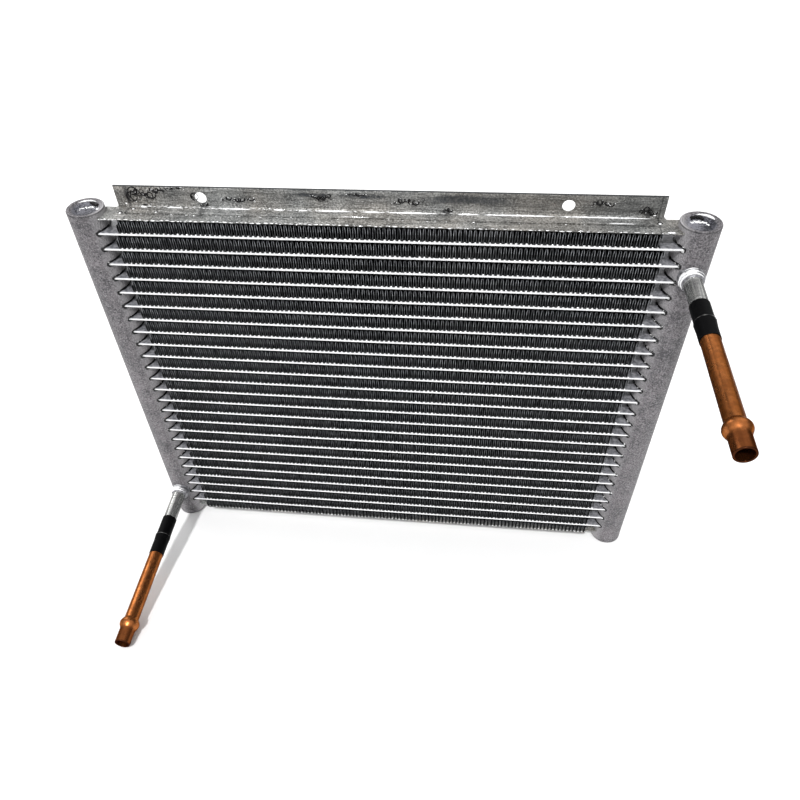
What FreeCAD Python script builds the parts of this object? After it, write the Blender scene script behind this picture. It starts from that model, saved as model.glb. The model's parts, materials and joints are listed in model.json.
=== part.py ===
import FreeCAD, Part
import os
from math import asin, cos, radians, sin, sqrt
from FreeCAD import Vector

# Parallel flow condenser: two upright round headers joined by flat tubes, folded fins between
# the tubes, a side plate above and below, a mounting bracket on the upper side plate, and an
# inlet and an outlet pipe that point forward.
#
# All sizes are millimetres. X runs across the core to the right, Y runs from the front to the
# back and Z runs up. The origin is midway between the two bracket holes, on the back face of
# the bracket's flange.

# Core of tubes and fins
tube_count = 25
tube_pitch = 10.0
tube_width = 16.0
tube_height = 1.8
tube_nose_chamfer = 0.5
tube_end_from_axis = 3.5
fin_length = 290.0
fin_sheet = 0.4
fin_folds_per_row = 7

# Headers: round pipes, whose bore has three flats on the side where the tubes enter
header_diameter = 21.0
header_beyond_fins = 8.5
header_wall = 1.2
bore_middle_flat_angle = 40.0
bore_beside_slot = 0.2
header_above_top_tube = 12.0
header_below_bottom_tube = 17.0

# End caps, pressed as shallow dishes that open outward and narrow toward their floor
cap_thickness = 3.6
cap_dish_depth = 2.4
cap_dish_diameter = 17.0
cap_floor_diameter = 12.0

# Partitions that send the flow across the core three times
partition_thickness = 1.5
right_partition_below_tube = 11
left_partition_below_tube = 19

# Side plates, with ends that step toward the core and narrow where they meet the headers
side_plate_sheet = 1.0
side_plate_end_width = 13.0
side_plate_step = 1.1
step_beyond_fins = 2.0
step_run = 1.6

# Mounting bracket, folded from one sheet
bracket_sheet = 1.0
bracket_leg_short_of_fins = 4.0
bracket_leg_depth = 8.0
bracket_ear_length = 5.5
bracket_height = 12.9
bracket_bend_radius = 1.5
bracket_relief = 1.5
bracket_back_behind_axis = 5.5
hole_spacing = 196.0
hole_diameter = 6.6
hole_below_top_edge = 6.4

# Pipes
inlet_below_header_top = 27.0
outlet_above_header_foot = 30.5
inlet_stub_reach = 47.6
outlet_stub_reach = 54.0
pipe_diameter = 9.52
stub_wall = 1.2
stub_past_bore = 1.0
weld_diameter = 12.4
weld_reach = 15.2
copper_wall = 0.8
copper_length = 85.0
bead_diameter = 13.0
bead_width = 8.0
bead_from_end = 14.2
spigot_diameter = 10.0
sleeve_wall = 0.35
inlet_sleeve_length = 27.0
outlet_sleeve_length = 31.8

# Clearances that the brazing metal fills, on each side
slot_clearance = 0.1
cap_clearance = 0.05

# Places worked out from the sizes above
fin_height = tube_pitch - tube_height
header_radius = header_diameter / 2
bore_radius = header_radius - header_wall
axis_y = -bracket_back_behind_axis
side_plate_top = hole_below_top_edge - bracket_height
top_row_top = side_plate_top - side_plate_sheet
top_tube_z = top_row_top - fin_height - tube_height / 2
bottom_tube_z = top_tube_z - (tube_count - 1) * tube_pitch
bottom_row_bottom = bottom_tube_z - tube_height / 2 - fin_height
header_top = top_tube_z + header_above_top_tube
header_foot = bottom_tube_z - header_below_bottom_tube
right_x = fin_length / 2 + header_beyond_fins + header_radius
left_x = -right_x
inlet_z = header_top - inlet_below_header_top
outlet_z = header_foot + outlet_above_header_foot

parts = {}


def tube_z(number):
    """Height of the centre of a flat tube, counted from the top."""
    return top_tube_z - (number - 1) * tube_pitch


def prism(points, travel):
    """A closed outline swept along a straight line."""
    outline = [Vector(*point) for point in points]
    return Part.Face(Part.makePolygon(outline + outline[:1])).extrude(Vector(*travel))


def turned(profile, centre, direction):
    """A closed outline of (radius, distance) points turned about an axis."""
    outline = [Vector(radius, 0, distance) for radius, distance in profile]
    face = Part.Face(Part.makePolygon(outline + outline[:1]))
    solid = face.revolve(Vector(0, 0, 0), Vector(0, 0, 1), 360)
    turn = FreeCAD.Rotation(Vector(0, 0, 1), Vector(*direction))
    solid.Placement = FreeCAD.Placement(Vector(*centre), turn)
    return solid


# Flat tubes


def flat_tube(number):
    """A flat bar with chamfered noses that ends inside both headers."""
    half_width = tube_width / 2
    half_height = tube_height / 2
    flat_y = half_width - tube_nose_chamfer
    nose_z = half_height - tube_nose_chamfer
    quarter = [(flat_y, half_height), (half_width, nose_z)]
    section = quarter + [(y, -z) for y, z in quarter[::-1]]
    section += [(-y, -z) for y, z in section]
    x = left_x + tube_end_from_axis
    z_centre = tube_z(number)
    points = [(x, axis_y + y, z_centre + z) for y, z in section]
    return prism(points, (-2 * x, 0, 0))


for number in range(1, tube_count + 1):
    parts[f"flat_tube_{number:02d}"] = flat_tube(number)


# Folded fins


def fin_row(number):
    """One strip folded up and down, whose crests touch what lies above and below it."""
    top = top_row_top - (number - 1) * tube_pitch
    bottom = top - fin_height
    step = fin_length / (2 * fin_folds_per_row)
    front = axis_y - tube_width / 2
    upper = []
    for fold in range(2 * fin_folds_per_row + 1):
        x = -fin_length / 2 + fold * step
        upper.append((x, front, top if fold % 2 else bottom + fin_sheet))
    lower = [(x, front, z - fin_sheet) for x, front, z in upper]
    return prism(upper + lower[::-1], (0, tube_width, 0))


for number in range(1, tube_count + 2, 2):
    pair = [fin_row(number), fin_row(number + 1)]
    parts[f"fin_rows_{number:02d}_{number + 1:02d}"] = Part.makeCompound(pair)


# Side plates


def side_plate(face_z, outward):
    """A strip outside the last fin row. face_z is the face that the fins touch."""
    step_from = fin_length / 2 + step_beyond_fins
    step_to = step_from + step_run
    end = right_x - header_radius / 2
    half = [(step_from, 0), (step_to, -side_plate_step), (end, -side_plate_step)]
    inner = [(-x, z) for x, z in half[::-1]] + half
    outer = [(x, z + side_plate_sheet) for x, z in inner]
    front = axis_y - tube_width / 2
    profile = [(x, front, face_z + outward * z) for x, z in inner + outer[::-1]]
    strip = prism(profile, (0, tube_width, 0))
    wide = tube_width / 2
    narrow = side_plate_end_width / 2
    corner = [(end, narrow), (step_to, narrow), (step_from, wide)]
    plan = corner + [(-x, y) for x, y in corner[::-1]]
    plan += [(-x, -y) for x, y in plan]
    low = min(point[2] for point in profile)
    high = max(point[2] for point in profile)
    outline = prism([(x, axis_y + y, low) for x, y in plan], (0, 0, high - low))
    strip = strip.common(outline)
    for axis_x in (left_x, right_x):
        base = Vector(axis_x, axis_y, low)
        strip = strip.cut(Part.makeCylinder(header_radius, high - low, base))
    return strip


parts["top_side_plate"] = side_plate(top_row_top, 1)
parts["bottom_side_plate"] = side_plate(bottom_row_bottom, -1)


# Headers


def bore_column(axis_x, radius, low, height):
    """The shape of the room inside a header: a round column with three flats toward the core."""
    outer_corner = asin((tube_width / 2 + slot_clearance + bore_beside_slot) / bore_radius)
    inner_corner = radians(bore_middle_flat_angle / 2)

    def rim(angle):
        return Vector(radius * cos(angle), radius * sin(angle), 0)

    angles = [outer_corner, inner_corner, -inner_corner, -outer_corner]
    corners = [rim(angle) for angle in angles]
    edges = [Part.makeLine(first, second) for first, second in zip(corners, corners[1:])]
    edges.append(Part.Arc(corners[3], Vector(-radius, 0, 0), corners[0]).toShape())
    column = Part.Face(Part.Wire(edges)).extrude(Vector(0, 0, height))
    toward_core = FreeCAD.Rotation(Vector(0, 0, 1), 180 if axis_x > 0 else 0)
    column.Placement = FreeCAD.Placement(Vector(axis_x, axis_y, low), toward_core)
    return column


def tube_slot(axis_x, number):
    """The opening through the wall that a tube end passes."""
    width = tube_width + 2 * slot_clearance
    height = tube_height + 2 * slot_clearance
    core_side = axis_x - header_radius if axis_x > 0 else axis_x
    corner = Vector(core_side, axis_y - width / 2, tube_z(number) - height / 2)
    return Part.makeBox(header_radius, width, height, corner)


def header(axis_x, pipe_z):
    """A pipe with a slot for each tube, a seat for each cap and a hole for the stub."""
    base = Vector(axis_x, axis_y, header_foot)
    height = header_top - header_foot
    seam_away_from_core = FreeCAD.Rotation(Vector(0, 0, 1), 0 if axis_x > 0 else 180)
    body = Part.makeCylinder(header_radius, height)
    body.Placement = FreeCAD.Placement(base, seam_away_from_core)
    top_seat = Vector(axis_x, axis_y, header_top - cap_thickness)
    cuts = [
        bore_column(axis_x, bore_radius, header_foot, height),
        Part.makeCylinder(bore_radius, cap_thickness, base),
        Part.makeCylinder(bore_radius, cap_thickness, top_seat),
    ]
    for number in range(1, tube_count + 1):
        cuts.append(tube_slot(axis_x, number))
    hole_radius = pipe_diameter / 2 + slot_clearance
    hole_start = Vector(axis_x, axis_y, pipe_z)
    cuts.append(Part.makeCylinder(hole_radius, header_radius, hole_start, Vector(0, -1, 0)))
    return body.cut(cuts)


parts["left_header"] = header(left_x, outlet_z)
parts["right_header"] = header(right_x, inlet_z)


# End caps and partitions


def end_cap(axis_x, end_z, outward):
    """A round plug, flush with the header's end, with a sunk floor."""
    radius = bore_radius - cap_clearance
    profile = [
        (0, -cap_thickness),
        (radius, -cap_thickness),
        (radius, 0),
        (cap_dish_diameter / 2, 0),
        (cap_floor_diameter / 2, -cap_dish_depth),
        (0, -cap_dish_depth),
    ]
    return turned(profile, (axis_x, axis_y, end_z), (0, 0, outward))


def end_caps(axis_x):
    return Part.makeCompound([end_cap(axis_x, header_top, 1), end_cap(axis_x, header_foot, -1)])


def partition(axis_x, below_tube):
    """A plate across a header's bore, midway between two tubes."""
    low = tube_z(below_tube) - tube_pitch / 2 - partition_thickness / 2
    return bore_column(axis_x, bore_radius - cap_clearance, low, partition_thickness)


parts["left_end_caps"] = end_caps(left_x)
parts["right_end_caps"] = end_caps(right_x)
parts["header_partitions"] = Part.makeCompound(
    [partition(left_x, left_partition_below_tube), partition(right_x, right_partition_below_tube)]
)


# Mounting bracket


def bracket():
    """A leg that lies on the upper side plate, and a flange at its back with two holes."""
    inner = bracket_bend_radius
    outer = inner + bracket_sheet
    low = side_plate_top
    top = low + bracket_height
    leg_front = -bracket_leg_depth
    leg_end = fin_length / 2 - bracket_leg_short_of_fins
    x = -leg_end
    bend = Vector(x, -outer, low + outer)
    diagonal = sqrt(0.5)
    outer_middle = bend + Vector(0, outer * diagonal, -outer * diagonal)
    inner_middle = bend + Vector(0, inner * diagonal, -inner * diagonal)
    corners = [
        Vector(x, leg_front, low),
        Vector(x, -outer, low),
        Vector(x, 0, low + outer),
        Vector(x, 0, top),
        Vector(x, -bracket_sheet, top),
        Vector(x, -bracket_sheet, low + outer),
        Vector(x, -outer, low + bracket_sheet),
        Vector(x, leg_front, low + bracket_sheet),
    ]
    edges = [
        Part.makeLine(corners[0], corners[1]),
        Part.Arc(corners[1], outer_middle, corners[2]).toShape(),
        Part.makeLine(corners[2], corners[3]),
        Part.makeLine(corners[3], corners[4]),
        Part.makeLine(corners[4], corners[5]),
        Part.Arc(corners[5], inner_middle, corners[6]).toShape(),
        Part.makeLine(corners[6], corners[7]),
        Part.makeLine(corners[7], corners[0]),
    ]
    folded = Part.Face(Part.Wire(edges)).extrude(Vector(2 * leg_end, 0, 0))
    end = leg_end + bracket_ear_length
    ear = leg_end + bracket_relief
    half = [(ear, low + outer), (ear, low), (end, low), (end, top)]
    outline = half + [(-x, z) for x, z in half[::-1]]
    flange = prism([(x, -bracket_sheet, z) for x, z in outline], (0, bracket_sheet, 0))
    holes = []
    for side in (-1, 1):
        centre = Vector(side * hole_spacing / 2, -bracket_sheet, 0)
        holes.append(Part.makeCylinder(hole_diameter / 2, bracket_sheet, centre, Vector(0, 1, 0)))
    return folded.fuse(flange).removeSplitter().cut(holes)


parts["mounting_bracket"] = bracket()


# Pipes. Distances along a pipe are counted forward from the header's axis.


def forward_pipe(profile, axis_x, pipe_z):
    return turned(profile, (axis_x, axis_y, pipe_z), (0, -1, 0))


def tube_profile(inside, outside, start, end):
    return [(inside, start), (outside, start), (outside, end), (inside, end)]


def stub(axis_x, pipe_z, reach):
    """The short aluminium pipe, with the weld fillet that spreads onto the header."""
    outside = pipe_diameter / 2
    inside = outside - stub_wall
    back = bore_radius - stub_past_bore
    pipe = forward_pipe(tube_profile(inside, outside, back, reach), axis_x, pipe_z)
    fillet_slope = (weld_diameter / 2 - outside) / (weld_reach - header_radius)
    foot = outside + fillet_slope * weld_reach
    fillet = forward_pipe([(0, 0), (foot, 0), (outside, weld_reach), (0, weld_reach)], axis_x, pipe_z)
    low = Vector(axis_x, axis_y, pipe_z - foot)
    bore = forward_pipe([(0, 0), (inside, 0), (inside, reach), (0, reach)], axis_x, pipe_z)
    fillet = fillet.cut([Part.makeCylinder(header_radius, 2 * foot, low), bore])
    return pipe.fuse(fillet).removeSplitter()


def copper(axis_x, pipe_z, reach):
    """The copper pipe, with a rolled bead before its open end, which is opened up a little."""
    outside = pipe_diameter / 2
    inside = outside - copper_wall
    spigot = spigot_diameter / 2
    end = reach + copper_length
    bead = end - bead_from_end
    profile = [
        (inside, reach),
        (outside, reach),
        (outside, bead - bead_width / 2),
        (bead_diameter / 2, bead),
        (spigot, bead + bead_width / 2),
        (spigot, end),
        (inside, end),
    ]
    return forward_pipe(profile, axis_x, pipe_z)


def sleeve(axis_x, pipe_z, reach, length):
    """The thin black sleeve, shrunk over the joint between the stub and the copper."""
    inside = pipe_diameter / 2
    start = reach - length / 2
    end = reach + length / 2
    profile = tube_profile(inside, inside + sleeve_wall, start, end)
    return forward_pipe(profile, axis_x, pipe_z)


inlet = (right_x, inlet_z, inlet_stub_reach)
outlet = (left_x, outlet_z, outlet_stub_reach)
parts["pipe_stubs"] = Part.makeCompound([stub(*inlet), stub(*outlet)])
parts["copper_pipes"] = Part.makeCompound([copper(*inlet), copper(*outlet)])
sleeves = [sleeve(*inlet, inlet_sleeve_length), sleeve(*outlet, outlet_sleeve_length)]
parts["pipe_sleeves"] = Part.makeCompound(sleeves)

os.makedirs("parts", exist_ok=True)
for name, shape in parts.items():
    shape.exportStep(f"parts/{name}.step")
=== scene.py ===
# %% [markdown]
# A parallel flow condenser is a flat radiator for a refrigeration circuit. Two upright pipes, the
# headers, are joined by twenty-five flat tubes, and folded aluminium fins fill the gaps. Gas comes
# in through one copper pipe, turns to liquid inside the tubes and leaves through the other.
#
# This lesson dresses a finished engineering model. The model gives the main places and sizes, and
# the script reads those from the frame.

# %% Load the engineering model
import bpy
import bmesh
import json
from functools import partial
from math import atan, cos, pi, radians, sin, sqrt, tan
from random import Random
from mathutils import Matrix, Vector


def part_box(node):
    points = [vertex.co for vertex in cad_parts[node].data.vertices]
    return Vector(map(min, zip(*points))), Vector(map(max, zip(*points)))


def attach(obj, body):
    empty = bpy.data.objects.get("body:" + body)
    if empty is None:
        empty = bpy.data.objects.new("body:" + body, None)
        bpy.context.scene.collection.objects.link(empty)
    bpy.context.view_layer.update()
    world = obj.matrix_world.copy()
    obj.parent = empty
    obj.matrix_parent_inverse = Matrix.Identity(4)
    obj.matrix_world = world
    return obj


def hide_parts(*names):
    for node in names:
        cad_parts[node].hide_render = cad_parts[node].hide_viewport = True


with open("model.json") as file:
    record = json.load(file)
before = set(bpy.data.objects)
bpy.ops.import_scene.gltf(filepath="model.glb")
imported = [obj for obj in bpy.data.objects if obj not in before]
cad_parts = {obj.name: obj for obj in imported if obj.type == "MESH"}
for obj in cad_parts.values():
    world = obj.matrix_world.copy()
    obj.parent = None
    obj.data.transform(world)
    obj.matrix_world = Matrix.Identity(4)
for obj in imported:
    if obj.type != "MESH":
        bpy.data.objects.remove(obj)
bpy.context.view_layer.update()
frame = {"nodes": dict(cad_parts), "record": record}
nodes = frame["nodes"]
mounts = {mount["name"]: mount for mount in frame["record"]["mounts"]}
MM = 0.001

# %% [markdown]
# Most later sizes come from the boxes of a few nodes. A flat tube gives the width and height of the
# tubes, the next tube gives the pitch, a fin strip gives the length of the folded part, and a
# header gives its own axis and radius. The mounts give the open ends of the two pipes.

# %% Measure the core, the headers and the pipes
tube_low, tube_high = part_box("flat_tube_01")
fin_low, fin_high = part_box("fin_rows_01_02")
header_low, header_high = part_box("right_header")
tube_names = sorted(name for name in nodes if name.startswith("flat_tube"))
fin_names = sorted(name for name in nodes if name.startswith("fin_rows"))
tube_width = tube_high[1] - tube_low[1]
tube_height = tube_high[2] - tube_low[2]
pitch = tube_low[2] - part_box("flat_tube_02")[0][2]
fin_height = pitch - tube_height
fin_length = fin_high[0] - fin_low[0]
core_y = (tube_low[1] + tube_high[1]) / 2
header_x = (header_low[0] + header_high[0]) / 2
header_radius = (header_high[0] - header_low[0]) / 2
header_foot, header_top = header_low[2], header_high[2]
both_sides = ((-1, "left"), (1, "right"))
pipe_ends = {}
for label in ("inlet", "outlet"):
    spigot = mounts[label + "_spigot"]
    pipe_ends[label] = spigot["pos_m"][1] - spigot["dims"]["length_mm"] * MM / 2
spigot_radius = spigot["dims"]["r_mm"] * MM
spigot_length = spigot["dims"]["length_mm"] * MM
print("pitch", round(pitch, 5), "header axis", round(header_x, 5), round(core_y, 5))

# %% [markdown]
# A few helpers serve everywhere below. One puts data into the scene as an object. The others add
# nodes to a tree, whether it is the tree of a finish, of the world or of a grown shape: wires maps
# a node's inputs to sockets or values. A socket knows its tree, so arithmetic needs only the values.

# %% Helpers for objects and nodes
def in_scene(name, data):
    """A new object with this data, linked into the scene."""
    piece = bpy.data.objects.new(name, data)
    bpy.context.collection.objects.link(piece)
    return piece


def wire(node, wires):
    """Sets a node's inputs to these sockets or values."""
    for label, value in wires.items():
        if isinstance(value, bpy.types.NodeSocket):
            node.id_data.links.new(value, node.inputs[label])
        else:
            node.inputs[label].default_value = value


def step(tree, kind, wires, **settings):
    """Adds a node. settings are its own choices."""
    node = tree.nodes.new(kind if kind.startswith(("Shader", "Function")) else "GeometryNode" + kind)
    for key, value in settings.items():
        setattr(node, key, value)
    wire(node, wires)
    return node


def made(tree, kind, wires, **settings):
    """Adds a node and gives its first output."""
    return step(tree, kind, wires, **settings).outputs[0]


def maths(operation, *values):
    """One step of arithmetic on numbers and sockets, in the tree that the first socket is from."""
    tree = next(value.id_data for value in values if isinstance(value, bpy.types.NodeSocket))
    return made(tree, "ShaderNodeMath", dict(enumerate(values)), operation=operation)


times, over, plus, minus = (partial(maths, name) for name in ("MULTIPLY", "DIVIDE", "ADD", "SUBTRACT"))

# %% [markdown]
# The camera stands in front of the part, well above it, and looks down at the core. Its lens and
# its small shift were fitted to the outlines of the real part, which is why they are not round
# numbers.

# %% Place the camera
picture_size = 800
focal_pixels = 728.1
centre_right, centre_down = 378.9, 415.3
camera_place = Vector((47.455, -346.649, 197.920)) * MM
camera_degrees = (44.072, 2.351, 6.540)
camera_data = bpy.data.cameras.new("camera")
camera_data.sensor_width = 36
camera_data.lens = focal_pixels / picture_size * camera_data.sensor_width
camera_data.shift_x = (picture_size / 2 - centre_right) / picture_size
camera_data.shift_y = (centre_down - picture_size / 2) / picture_size
camera_data.clip_start = 0.01
camera = in_scene("camera", camera_data)
camera.location = camera_place
camera.rotation_euler = [radians(turn) for turn in camera_degrees]
bpy.context.scene.camera = camera
print("lens", round(camera_data.lens, 2), "mm")

# %% [markdown]
# The part leans forward: it stands on the front rims of its two headers and on the tip of the
# lower pipe. Three points make a plane, so the floor is a tilted sheet through them. The part
# itself is not turned, because everything has to stay where the engineering model has it.

# %% Lay the floor under the three points of rest
outlet_tip_z = mounts["outlet_spigot"]["pos_m"][2] - spigot_radius
rim_y = core_y - header_radius
lean = atan((outlet_tip_z - header_foot) / (rim_y - pipe_ends["outlet"]))
floor_front, floor_back, floor_half_width = 0.45, 9.0, 8.0
floor_mesh = bpy.data.meshes.new("floor")
corners = [(-1, -floor_front), (1, -floor_front), (1, floor_back), (-1, floor_back)]
floor_mesh.from_pydata([(side * floor_half_width, y, 0) for side, y in corners], [], [(0, 1, 2, 3)])
floor_mesh.transform(Matrix.Translation((0, rim_y, header_foot)) @ Matrix.Rotation(-lean, 4, "X"))
floor = in_scene("floor", floor_mesh)
print("the part leans", round(lean * 180 / pi, 2), "degrees")

# %% [markdown]
# The light is a plain white room. It is brightest overhead and in front, and dim near the
# horizon, so the noses of the tubes shine while the sides of the pipes stay dark. Two round soft
# lamps stand behind the part: a bright one on the left, which the pipes mirror as a band along
# them, and a wide faint one on the right, which lights their right halves. A sun lamp with a narrow
# disc throws the one shadow that shows, a pale band on the floor beside the lower pipe. The core's
# own shadow falls behind the part.

# %% Set the lights
def add_lamp(name, kind, towards, energy, distance=0.0):
    """A lamp that shines at the part from this direction."""
    data = bpy.data.lights.new(name, kind)
    data.energy = energy
    lamp = in_scene(name, data)
    lamp.location = Vector(towards).normalized() * distance
    lamp.rotation_euler = Vector(towards).to_track_quat("Z", "Y").to_euler()
    return lamp


sun = add_lamp("high_sun", "SUN", towards=(-0.12, -0.5, 0.85), energy=2.6)
sun.data.angle = radians(5)
lamp_distance = 4.0
# Each lamp: its direction from the part, half the angle that it fills and its brightness
soft_lamps = (("left_lamp", (-0.62, 0.68, 0.38), 16, 2.4), ("right_lamp", (0.33, 0.75, 0.57), 32, 0.55))
for name, towards, half_angle, brightness in soft_lamps:
    disc_radius = lamp_distance * tan(radians(half_angle))
    lamp = add_lamp(name, "AREA", towards, 4 * pi * disc_radius ** 2 * brightness, lamp_distance)
    lamp.data.shape = "DISK"
    lamp.data.size = 2 * disc_radius
    lamp.visible_camera = False

world = bpy.data.worlds.new("white_room")
world.use_nodes = True
room = world.node_tree
direction = step(room, "ShaderNodeTexCoord", {}).outputs["Generated"]
brightest = {0: direction, 1: (-0.15, -0.45, 0.88)}
facing = step(room, "ShaderNodeVectorMath", brightest, operation="DOT_PRODUCT").outputs["Value"]
dimming = {"Value": facing, "From Min": -0.05, "From Max": 0.95, "To Min": 0.14, "To Max": 1.06}
shades = made(room, "ShaderNodeMapRange", dimming, interpolation_type="SMOOTHSTEP")
wire(room.nodes["Background"], {"Color": shades})
bpy.context.scene.world = world
bpy.context.scene.view_settings.view_transform = "Standard"
print("lamps", len(bpy.data.lights))

# %% [markdown]
# Every finish below is built from the same few moves: read the place on the part, make a noise
# there, stretch the noise to a range, and blend two colours with it. Each finish has a recipe,
# which takes a tree and gives what drives the shader.

# %% Helpers for the finishes
def new_finish(name, recipe, metallic, roughness, grazing=1.0, specular=0.5):
    """A new material. grazing is how much a metal mirrors where it is seen nearly edge on."""
    material = bpy.data.materials.new(name)
    material.use_nodes = True
    tree = material.node_tree
    shader = tree.nodes["Principled BSDF"]
    wire(shader, {
        "Metallic": metallic, "Roughness": roughness, "Specular IOR Level": specular,
        "Specular Tint": (grazing, grazing, grazing, 1.0),
    })
    wire(shader, recipe(tree))
    return material


def place_on_part(tree, stretch=(1, 1, 1)):
    """Coordinates in metres on the part, stretched along its axes."""
    place = step(tree, "ShaderNodeTexCoord", {}).outputs["Object"]
    return made(tree, "ShaderNodeMapping", {"Vector": place, "Scale": stretch})


def axis_value(tree, axis):
    """The place on the part along one axis, in metres."""
    return step(tree, "ShaderNodeSeparateXYZ", {0: place_on_part(tree)}).outputs[axis]


def noise(tree, scale, detail=4.0, rough=0.6, stretch=(1, 1, 1)):
    """Cloudy noise, from 0 to 1. scale is the number of clouds in a metre."""
    place = place_on_part(tree, stretch)
    wires = {"Vector": place, "Scale": scale, "Detail": detail, "Roughness": rough}
    return made(tree, "ShaderNodeTexNoise", wires)


def spread(value, low, high, out_low=0.0, out_high=1.0):
    """Stretches a value from one range to another and stops at its ends."""
    wires = {"Value": value, "From Min": low, "From Max": high, "To Min": out_low, "To Max": out_high}
    return made(value.id_data, "ShaderNodeMapRange", wires)


def clouds_of(tree, contrast, *kind):
    """Noise of this kind, stretched to the full range between two of its values."""
    return spread(noise(tree, *kind), *contrast)


# %% [markdown]
# Colours are easier to judge as they look on a screen, so they are written from 0 to 255 and
# turned into the linear values of the shader. Shades are laid over one another in layers, each with
# an amount that says where it shows. A band is such an amount for a strip between two places, and
# patches are one for a few ragged ovals.

# %% Helpers that mix shades and mark places
def screen(red, green, blue):
    """A colour given as it looks on a screen."""
    def linear(level):
        level = level / 255
        return level / 12.92 if level <= 0.04045 else ((level + 0.055) / 1.055) ** 2.4
    return (linear(red), linear(green), linear(blue), 1.0)


def blend(amount, *shades):
    """Mixes two shades, each a socket or a colour as it looks on a screen."""
    first, second = (screen(*shade) if isinstance(shade, tuple) else shade for shade in shades)
    wires = {0: amount, 6: first, 7: second}
    return step(amount.id_data, "ShaderNodeMix", wires, data_type="RGBA").outputs[2]


def layers(shade, *marks):
    """Lays marks over a shade, one after another. Each mark is an amount and a shade."""
    for amount, mark in marks:
        shade = blend(amount, shade, mark)
    return shade


def bumps(height, strength, distance):
    """Bumps the surface by a height value."""
    wires = {"Height": height, "Strength": strength, "Distance": distance}
    return made(height.id_data, "ShaderNodeBump", wires)


def diagonal(first, second):
    """How far a point is from a centre, from its distances along two axes."""
    squares = [times(value, value) for value in (first, second)]
    return maths("SQRT", plus(*squares))


def band(value, low, high, soft):
    """1 between two places and 0 outside them, with soft edges."""
    rise = spread(value, low - soft, low + soft)
    return times(rise, spread(value, high - soft, high + soft, 1.0, 0.0))


def patches(tree, *places):
    """1 inside oval stains on the plane of X and Z, 0 outside, with ragged edges. Sizes are in mm."""
    stains = []
    for x, z, reach_x, reach_z in places:
        across = over(minus(axis_value(tree, "X"), x * MM), reach_x * MM)
        upward = over(minus(axis_value(tree, "Z"), z * MM), reach_z * MM)
        ragged = times(minus(noise(tree, 420, 4, 0.7), 0.5), 1.4)
        away = plus(diagonal(across, upward), ragged)
        stains.append(spread(away, 0.6, 1.15, 1.0, 0.0))
    whole = stains[0]
    for stain in stains[1:]:
        whole = maths("MAXIMUM", whole, stain)
    return whole


# %% [markdown]
# The floor is one pale colour. It is nearly white, so it throws light back up at the part, and the
# shadows stay light.

# %% Finish of the floor
def floor_recipe(tree):
    return {"Base Color": (0.9, 0.9, 0.9, 1)}


floor_skin = new_finish("floor_paper", floor_recipe, metallic=0.0, roughness=0.6, specular=0.2)
floor_mesh.materials.append(floor_skin)
print("floor", 2 * floor_half_width, "by", floor_front + floor_back, "m")

# %% [markdown]
# The headers went through a brazing oven, which leaves aluminium dull, faintly purple grey, with
# fine grains and a few dark pits. Long soft clouds change the grey, a fine noise makes the grain,
# and a noise that is cut off high gives scattered pits. Inside the dishes of the caps the metal is
# bluish and darker, so the finish also looks at how far a point lies below the rims. A thin dark
# line is painted round the outer edge of each rim, and round the mouths of the upper dishes a dark
# line is painted shade in the seam. The walls that face the core are painted paler, painted light
# against the shade between the tubes.

# %% Finish of the headers
dish_radius = 8.5 * MM


def header_recipe(tree):
    clouds = clouds_of(tree, (0.36, 0.64), 70, 5, 0.65)
    grain = clouds_of(tree, (0.30, 0.70), 1050, 2, 0.8)
    pits = clouds_of(tree, (0.65, 0.69), 430, 4, 0.7)
    up = axis_value(tree, "Z")
    from_middle = minus(maths("ABSOLUTE", axis_value(tree, "X")), header_x)
    away = diagonal(from_middle, minus(axis_value(tree, "Y"), core_y))
    deep = band(up, header_foot + 0.9 * MM, header_top - 0.9 * MM, 0.5 * MM)
    near_axis = spread(away, header_radius - 2.2 * MM, header_radius - 1.8 * MM, 1.0, 0.0)
    mottled = times(plus(grain, clouds), 0.5)
    bowl = blend(spread(mottled, 0.3, 0.7), (34, 35, 42), (124, 124, 132))
    # A thin painted dark line round each rim's outer edge, and painted shade in the seam of each upper dish
    outer = spread(away, header_radius - 0.34 * MM, header_radius - 0.2 * MM)
    between_ends = band(up, header_foot + 0.8 * MM, header_top - 0.8 * MM, 0.15 * MM)
    rim_line = times(outer, minus(1.0, between_ends))
    seam_shade = band(away, dish_radius + 0.6 * MM, dish_radius + 0.8 * MM, 0.1 * MM)
    at_top = spread(up, header_top - 0.6 * MM, header_top - 0.4 * MM)
    lines = maths("MAXIMUM", rim_line, times(seam_shade, at_top))
    shade = layers(
        blend(clouds, (82, 81, 84), (130, 126, 129)),
        (spread(grain, 0.0, 0.5, 0.9, 0.0), (44, 43, 46)),
        (spread(grain, 0.52, 1.0, 0.0, 0.85), (160, 157, 160)),
        (pits, (36, 35, 38)),
        (times(deep, near_axis), bowl),
        # Painted light: the walls that face the core are paler, against the shade between the tubes
        (spread(from_middle, -header_radius, -0.4 * header_radius, 0.75, 0.0), (188, 186, 188)),
        (times(lines, 0.6), (34, 34, 37)),
    )
    relief = minus(grain, times(pits, 2.0))
    roughness = spread(clouds, 0, 1, 0.42, 0.6)
    return {"Base Color": shade, "Roughness": roughness, "Normal": bumps(relief, 0.7, 0.0005)}


header_skin = new_finish("header_skin", header_recipe, metallic=0.4, roughness=0.5)
print("header finish", len(header_skin.node_tree.nodes), "nodes")

# %% [markdown]
# The noses of the flat tubes are the brightest lines of the part. The upper part of the very front
# of the round is painted near white, a painted highlight, and below it the nose is painted dark, a
# painted shadow. The faces between the fins are painted near black as painted shade, and past the
# fins, beside the headers, they are a paler grey. The remainder of a height divided by the pitch
# tells where on a tube a point is, so one finish serves all the tubes.

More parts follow.
